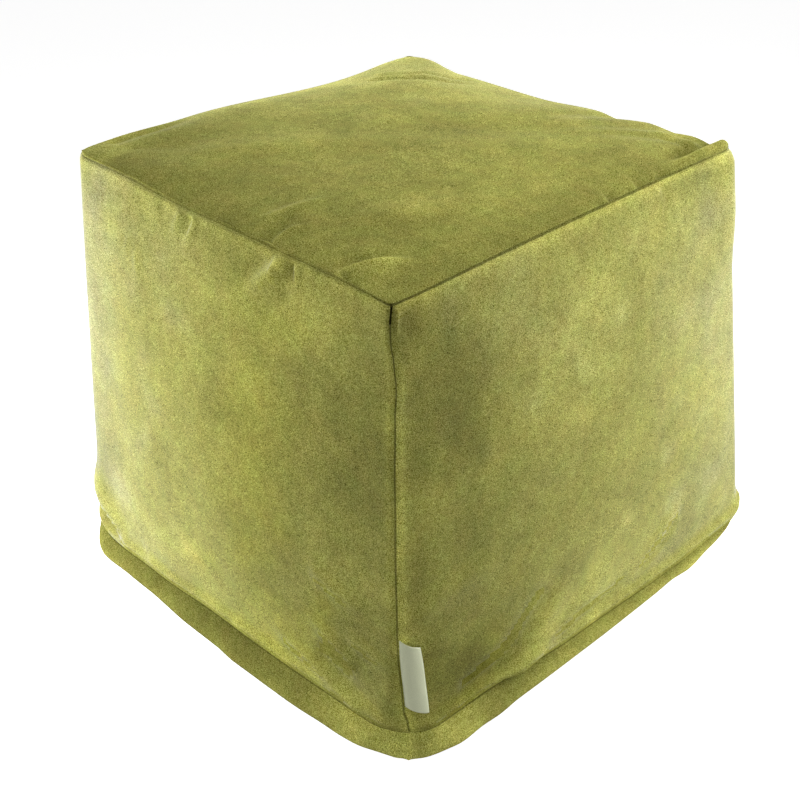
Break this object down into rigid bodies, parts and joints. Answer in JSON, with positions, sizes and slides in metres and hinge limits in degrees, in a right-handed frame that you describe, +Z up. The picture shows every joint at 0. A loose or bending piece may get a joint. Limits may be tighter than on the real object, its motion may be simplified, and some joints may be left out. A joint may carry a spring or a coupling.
{
  "type": "cube pouf stool",
  "caption": "Filled cloth cube stool with sewn panels, a crowned top, a rolled base edge and a small label in one seam.",
  "frame": {"origin": "middle of the base, on the floor", "axes": "+Z up; the front panel faces -Y and the right panel +X, with the label in the upright seam between them"},
  "size_m": [0.51, 0.53, 0.437],
  "materials": {
    "velvet": "short-pile velvet, apple green, with a mottled nap",
    "label_ribbon": "satin ribbon, light grey"
  },
  "bodies": {
    "root": {"pouf_body": "velvet", "seam_label": "label_ribbon"}
  },
  "joints": []
}
